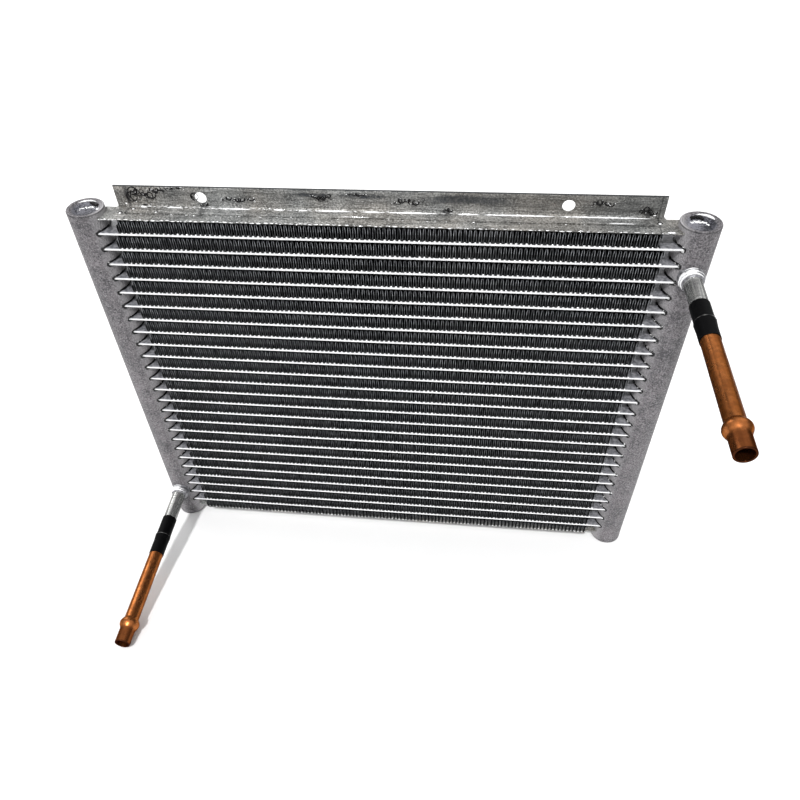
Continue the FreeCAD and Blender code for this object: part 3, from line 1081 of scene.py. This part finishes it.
for side, first, last, bow, flux_arc, run_arc in cap_marks:
    for number in range(drops_in_cap):
        share = number / (drops_in_cap - 1)
        x = between((first[0], last[0]), share)
        y = between((first[1], last[1]), share) + bow * sin(pi * share) + chance.uniform(-1.2, 1.2)
        size = chance.uniform(0.15, 0.55)
        half_sizes = Vector((size * chance.uniform(0.8, 1.4), size * 0.8, size * 0.6)) * MM
        bright_drops.append((on_dish(side, x, y), half_sizes))
    for number in range(flux_in_cap):
        angle = between(flux_arc, number / (flux_in_cap - 1))
        place = round_dish(side, angle, 6.5 + chance.uniform(-0.4, 0.4), 0.35)
        flux_drops.append((place, Vector((0.8, 0.7, 0.7)) * MM * chance.uniform(0.7, 1.2)))

    # The run lies only on the far part of the wall: braze metal and a painted highlight
    def along_wall(share):
        thickness = (0.5 if side < 0 else 0.95 - 0.5 * share) * MM
        return round_dish(side, between(run_arc, share), 7.9), thickness

    wall_highlight_runs.append(uneven_run(along_wall, points=25, unevenness=(0.85, 1.1), chance=chance))
fit_in(drops_of_metal("cap_brazing_drops", bright_drops, weld_skin), "header_aluminium")
fit_in(drops_of_metal("cap_flux_marks", flux_drops, flux_skin), "header_aluminium")
fit_in(run_of_metal("cap_brazing_runs", wall_highlight_runs, weld_skin), "header_aluminium")
print("drops in the caps", len(bright_drops) + len(flux_drops))

# %% [markdown]
# The copper pipes, the stubs and the sleeves are turned too. A bead is rolled round each copper
# pipe before its end, as a stop for the hose or the brazed socket, and the rim is slightly rounded.
# Distances along a pipe are measured forward from where its axis crosses the header's.

# %% Measure the pipes
sleeve_wall = 0.35 * MM
sleeve_low, sleeve_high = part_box("pipe_sleeves")
stub_radius = sleeve_high[0] - header_x - sleeve_wall
bead_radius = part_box("copper_pipes")[1][0] - header_x
bead_half_width = 4.0 * MM
pipe_centres, joints, copper_ends = {}, {}, {}
for label in ("inlet", "outlet"):
    copper_bore = mounts[label + "_bore"]
    x, y, z = copper_bore["pos_m"]
    half = copper_bore["dims"]["length_mm"] * MM / 2
    pipe_centres[label] = Vector((x, core_y, z))
    joints[label] = core_y - y - half
    copper_ends[label] = core_y - y + half
copper_inside = copper_bore["dims"]["r_mm"] * MM
sleeve_halves = {
    "inlet": joints["inlet"] - (core_y - sleeve_high[1]),
    "outlet": core_y - sleeve_low[1] - joints["outlet"],
}
print("sleeves", [round(2 * half / MM, 1) for half in sleeve_halves.values()], "mm long")

# %% [markdown]
# The inlet and the outlet are made alike, so a profile is a function of the pipe's name. The same
# parts of both are joined into one piece.

# %% Turn the pipes
def swelling(start, end, steps=16):
    """The bead's outline, from the pipe's radius up to the bead's and down to the spigot's."""
    points = []
    for number in range(steps + 1):
        share = number / steps
        base = stub_radius + (spigot_radius - stub_radius) * share
        points.append((base + (bead_radius - base) * sin(pi * share) ** 1.2, start + (end - start) * share))
    return points


def copper_profile(label):
    rim = 0.3 * MM
    end = copper_ends[label]
    bead = end - spigot_length - bead_half_width
    profile = [(copper_inside, joints[label]), (stub_radius, joints[label])]
    profile += swelling(bead - bead_half_width, bead + bead_half_width)
    profile += rounded((spigot_radius - rim, end - rim), rim, 0, 90)
    return profile + rounded((copper_inside + rim, end - rim), rim, 90, 180)


def stub_profile(label):
    inside = stub_radius - 1.2 * MM
    joint = joints[label]
    return [(inside, bore), (stub_radius, bore), (stub_radius, joint), (inside, joint)]


def sleeve_profile(label):
    joint, half = joints[label], sleeve_halves[label]
    outer = stub_radius + sleeve_wall
    inner = stub_radius + 0.02 * MM
    lip = outer + 0.35 * MM
    edge = 0.15 * MM
    profile = [(inner, joint - half), (outer - edge, joint - half), (outer, joint - half + edge)]
    profile += [(outer, joint - 1.2 * MM), (lip - 0.1 * MM, joint), (lip, joint + 0.6 * MM)]
    profile += [(lip - 0.15 * MM, joint + 2.5 * MM), (outer, joint + 6 * MM)]
    return profile + [(outer, joint + half - edge), (outer - edge, joint + half), (inner, joint + half)]


def both_pipes(name, profile_of, finish):
    """One piece with the same kind of pipe for the inlet and the outlet."""
    halves = []
    for label, centre in pipe_centres.items():
        halves.append(turned(name + "_" + label, profile_of(label), centre, (0, -1, 0), finish))
    return joined(name, *halves)


fit_in(both_pipes("copper_pipes_drawn", copper_profile, copper_skin), "copper", "copper_pipes")
fit_in(both_pipes("pipe_stubs_drawn", stub_profile, stub_skin), "stub_aluminium", "pipe_stubs")
fit_in(both_pipes("pipe_sleeves_shrunk", sleeve_profile, sleeve_skin), "sleeve_black", "pipe_sleeves")
copper_lengths = [round((copper_ends[label] - joints[label]) / MM, 1) for label in joints]
print("copper pipes", copper_lengths, "mm long")

# %% [markdown]
# A sleeve is heat shrink in two halves. A thin pale line, a painted highlight, runs over the upper
# half of the lip where one half ends over the other.

# %% Draw the painted highlights on the sleeves' lips
def sleeve_lip_highlight(label, chance):
    """A painted highlight: a thin pale line on the upper half of the lip where one half of a sleeve ends
    over the other.
    """
    reach = stub_radius + 2 * sleeve_wall

    def along_edge(share):
        angle = radians(between((10, 170), share))
        away = Vector((reach * cos(angle), -joints[label] - 0.2 * MM, reach * sin(angle)))
        return pipe_centres[label] + away, 0.16 * MM

    return uneven_run(along_edge, points=33, unevenness=(0.3, 1.2), chance=chance)


chance = Random(3)
edges = [sleeve_lip_highlight(label, chance) for label in joints]
fit_in(run_of_metal("sleeve_edges", edges, sleeve_edge_skin), "sleeve_black")
print("sleeve edges", len(edges))

# %% [markdown]
# A weld stands where each stub leaves its header: a low collar on the header's round wall and a
# thick ring on top of it, hard against the stub. The foot of each slice lies on the round wall, so
# it depends on how far that slice is from the header's middle line, while the ring's top is level
# round the stub.

# %% Build the weld rings
# The weld's section: the radius of each point and its rise over the header, in mm
weld_section = ((6.7, -0.6), (6.6, 0.1), (6.35, 0.6), (5.95, 0.8), (6.1, 1.3), (6.55, 1.8), (6.8, 2.5))
weld_section += ((6.65, 3.3), (6.2, 4.0), (5.6, 4.4), (5.05, 4.6), (4.85, 4.8), (4.7, 5.6), (4.6, 5.2))


def weld_ring(name, centre, wobble, steps=72):
    """A ring lofted from the header's wall up to the stub."""
    work = bmesh.new()
    slices = []
    for number in range(steps):
        angle = 2 * pi * number / steps
        unevenness = 0.10 * sin(5 * angle + wobble) + 0.07 * sin(11 * angle + 2 * wobble)
        points = []
        for place, (radius, rise) in enumerate(weld_section):
            share = place / (len(weld_section) - 1)
            away = (radius + unevenness * (1 - share)) * MM
            offset = away * cos(angle)
            wall = sqrt(header_radius ** 2 - offset ** 2)
            level = wall * (1 - share) + header_radius * share
            forward = level + (rise + 0.8 * unevenness) * MM
            points.append(work.verts.new(centre + Vector((offset, -forward, away * sin(angle)))))
        slices.append(points)
    return lofted(name, work, slices, weld_body_skin, rings=False)


def ridge(centre, radius, rise, arc, thickness, chance):
    """A ridge of weld metal round part of a weld, as a path for a run of metal. Its white is a painted
    highlight.
    """
    def along_ridge(share):
        angle = radians(between(arc, share))
        away = (radius + chance.uniform(-0.08, 0.08)) * MM
        place = centre + Vector((away * cos(angle), -header_radius - rise * MM, away * sin(angle)))
        return place, thickness * MM

    return uneven_run(along_ridge, points=28, unevenness=(0.8, 1.15), chance=chance)


# The ridges are weld metal; they lie only on the upper and left side, where their white is a painted
# highlight
# Each ridge: its radius, its rise over the header, its first and last angle and its thickness
ridges = ((6.45, 1.9, (55, 205), 0.5), (6.55, 2.9, (40, 215), 0.6))
ridges += ((5.9, 4.0, (35, 225), 0.65), (6.5, 0.25, (68, 138), 0.3))
for label, seed in (("inlet", 5), ("outlet", 6)):
    fit_in(weld_ring(label + "_weld", pipe_centres[label], 0.4 * seed), "stub_aluminium")
    chance = Random(seed)
    paths = [ridge(pipe_centres[label], *line, chance) for line in ridges]
    fit_in(run_of_metal(label + "_weld_ridges", paths, weld_skin), "stub_aluminium")
print("weld ridges", 2 * len(ridges))

# %% [markdown]
# The plates and the bracket keep the engineering model's own shape. A copy of each gets its loose
# triangles merged and its edges softened, as a pressed sheet has. The partitions inside the
# headers stay as the model has them and only get the finish.

# %% Soften the plates and the bracket
sharp_angle = radians(35)


def softened(name, node, width, finish):
    """A copy of one of the model's own pieces with bevelled edges."""
    work = bmesh.new()
    work.from_mesh(nodes[node].data)
    bmesh.ops.remove_doubles(work, verts=work.verts, dist=1e-6)
    piece = from_work(name, work, finish)
    edge = piece.modifiers.new("edge", "BEVEL")
    edge.width = width
    edge.segments = 2
    edge.limit_method = "ANGLE"
    edge.angle_limit = sharp_angle
    ready = piece.evaluated_get(bpy.context.evaluated_depsgraph_get())
    soft = bpy.data.meshes.new_from_object(ready)
    piece.modifiers.clear()
    piece.data = soft
    soft.shade_smooth()
    soft.set_sharp_from_angle(angle=sharp_angle)
    return piece


for node in ("top_side_plate", "bottom_side_plate", "mounting_bracket"):
    piece = softened(node + "_pressed", node, 0.15 * MM, plate_skin)
    fit_in(piece, "plate_aluminium", node)
    print(piece.name, len(piece.data.polygons), "faces")
for material_slot in nodes["header_partitions"].material_slots:
    material_slot.material = plate_skin

# %% [markdown]
# The bend of the bracket holds a broken bright line: runs of brazing metal that settled there, which
# also stand for the painted highlight of the bend.
# Their starts and ends along X follow the real part, and a fine speckled line lies between them on
# the left. Drops lie about them, and along the front edge of the bracket's leg. A few larger drops
# on the plate have black flux round one side.

# %% Melt metal into the bracket's bend
bracket_low, bracket_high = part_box("mounting_bracket")
plate_low, plate_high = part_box("top_side_plate")
flange_face = bracket_high[1] - 1.0 * MM
leg_top = bracket_low[2] + 1.0 * MM
# Painted highlight of the bend, drawn as runs of brazing metal along it
# Each run's first and last X, in mm
bend_highlight_runs = ((-133, -129), (-118, -109), (-87, -70), (-58, -52), (-44, -39), (-35, -15), (-10, 1))
bend_highlight_runs += ((4, 31), (41, 53), (54, 92), (93, 140))
chance = Random(11)
paths = []
for ends in bend_highlight_runs:
    def along_bend(share):
        x = between(ends, share) * MM
        y = flange_face - (1.5 + chance.uniform(-0.12, 0.12)) * MM
        return Vector((x, y, leg_top + 0.1 * MM)), 0.6 * MM

    points = max(8, ends[1] - ends[0])
    paths.append(uneven_run(along_bend, points, unevenness=(0.6, 1.1), chance=chance))
speckle_y, speckle_z = flange_face - 1.4 * MM, leg_top + 0.3 * MM
paths += short_runs(-136, 40, speckle_y, speckle_z, thickness=(0.1, 0.34), gaps=(1.0, 1.0), chance=chance)
fit_in(run_of_metal("bracket_bend_brazing", paths, weld_skin), "plate_aluminium")
loose_drops, flux_round_drop = 70, 7
drops = []
for number in range(loose_drops):
    x = chance.triangular(-140, 140, -100)
    y, z = chance.choice(((flange_face - 1.6 * MM, leg_top), (bracket_low[1] - 0.1 * MM, plate_high[2])))
    size = chance.uniform(0.12, 0.34)
    half_sizes = Vector((size * chance.uniform(1, 2.5), size, size * 0.7)) * MM
    drops.append((Vector((x * MM, y + chance.uniform(-0.4, 0.4) * MM, z)), half_sizes))
craters = []
# Each larger drop: its place and its size
crater_places = ((-143.4, -7.5, -6.5, 0.8), (-136.5, -4.5, -5.5, 0.7))
crater_places += ((-122.6, -7.4, -5.5, 0.6), (144.2, -5.4, -6.5, 0.8))
for x, y, z, size in crater_places:
    drops.append((Vector((x, y, z)) * MM, Vector((size, size, 0.5 * size)) * MM))
    for number in range(flux_round_drop):
        angle = radians(20 + 25 * number)
        place = Vector((x + 1.4 * size * cos(angle), y + 1.5 * size * sin(angle), z)) * MM
        craters.append((place, Vector((0.5, 0.5, 0.3)) * size * MM))
fit_in(drops_of_metal("bracket_flux_drops", craters, flux_skin), "plate_aluminium")
fit_in(drops_of_metal("bracket_brazing_drops", drops, weld_skin), "plate_aluminium")
print("runs in the bend", len(paths), "drops", len(drops))

# %% [markdown]
# More metal gathered along the front edge of the top side plate, as a speckled line. It is a row
# of short runs with gaps between them, which grow wider towards the right.

# %% Melt metal along the plate's edge
edge_y, edge_z = plate_low[1] - 0.02 * MM, plate_high[2] - 0.5 * MM
paths = short_runs(-154, 146, edge_y, edge_z, thickness=(0.16, 0.42), gaps=(0.8, 3.0), chance=chance)
# Each longer dash: where it starts, its length and its thickness
dashes = (((118, -7.8, -5.5), 14, 0.3), ((146.7, -13.4, -6.6), 4.2, 0.55), ((-21, -7.6, -5.5), 16, 0.22))
for (x, y, z), length, thickness in dashes:
    def along_dash(share):
        return Vector((x + length * share, y, z)) * MM, thickness * MM

    paths.append(uneven_run(along_dash, points=12, unevenness=(0.6, 1.1), chance=chance))
fit_in(run_of_metal("plate_edge_brazing", paths, weld_skin), "plate_aluminium")
print("runs on the plate's edge", len(paths))

# %% [markdown]
# Burnt flux dried on the flange in dark curls. A curl is a circle walked round while its centre
# moves along X and its radius keeps changing, and small bright drops beside it are painted highlights.

# %% Draw the flux lines on the flange
def flux_loops(centre_x, centre_z, width, height, loops, seed):
    """A line of curls on the flange's front face."""
    wild = Random(seed)
    turns = [wild.uniform(0, 2 * pi) for number in range(3)]
    path = []
    points = 22 * loops
    for number in range(points):
        share = number / (points - 1)
        angle = 2 * pi * loops * share
        curl = (0.30 + 0.14 * sin(0.37 * angle + turns[0])) * height
        walk = width * (share - 0.5)
        x = centre_x + walk + curl * cos(angle + turns[1])
        z = centre_z + 0.25 * height * sin(0.23 * angle + turns[2]) + curl * sin(angle + turns[1])
        radius = (0.36 + 0.18 * sin(0.61 * angle)) * MM * taper(share) * wild.uniform(0.7, 1.2)
        path.append((Vector((x * MM, flange_face - 0.08 * MM, z * MM)), radius))
    return path


# Each line of curls: its middle's X and Z, its width and height, the number of loops and its seed
flux_places = ((-135.6, 0.8, 2, 9, 4, 1), (-128.2, 1.8, 12, 5.0, 5, 2), (-123, 4.4, 8, 2.4, 4, 3))
flux_places += ((-112, 5.4, 12, 0.9, 5, 4), (-77, -0.4, 20, 2.0, 8, 5), (-101.4, 2.0, 1.2, 5, 2, 6))
flux_places += ((-96, -4.2, 6, 1.6, 3, 7), (-31, 1.8, 11, 3.2, 6, 8), (-12, 4.0, 10, 1.2, 4, 9))
flux_places += ((15, 0.5, 17, 3.4, 7, 10), (36, -4.2, 5, 2.0, 3, 11), (115, 1.8, 12, 2.4, 6, 12))
flux_places += ((137, -1.8, 7, 3.4, 5, 13), (141, -3.5, 4, 2.0, 3, 14), (-131, -4.9, 12, 0.8, 4, 15))
paths = [flux_loops(*place) for place in flux_places]
fit_in(run_of_metal("flange_flux_lines", paths, flux_skin, sides=4), "plate_aluminium")
# Painted highlights: small bright drops beside the flux curls
glints = []
for path in paths:
    for place, radius in path[3::9]:
        size = chance.uniform(0.1, 0.28) * MM
        shift = Vector((chance.uniform(-0.6, 0.6), -0.02, chance.uniform(-0.5, 0.5))) * MM
        glints.append((place + shift, Vector((1.4 * size, 0.5 * size, size))))
fit_in(drops_of_metal("flange_flux_glints", glints, weld_skin), "plate_aluminium")
print("flux lines", len(paths), "glints", len(glints))
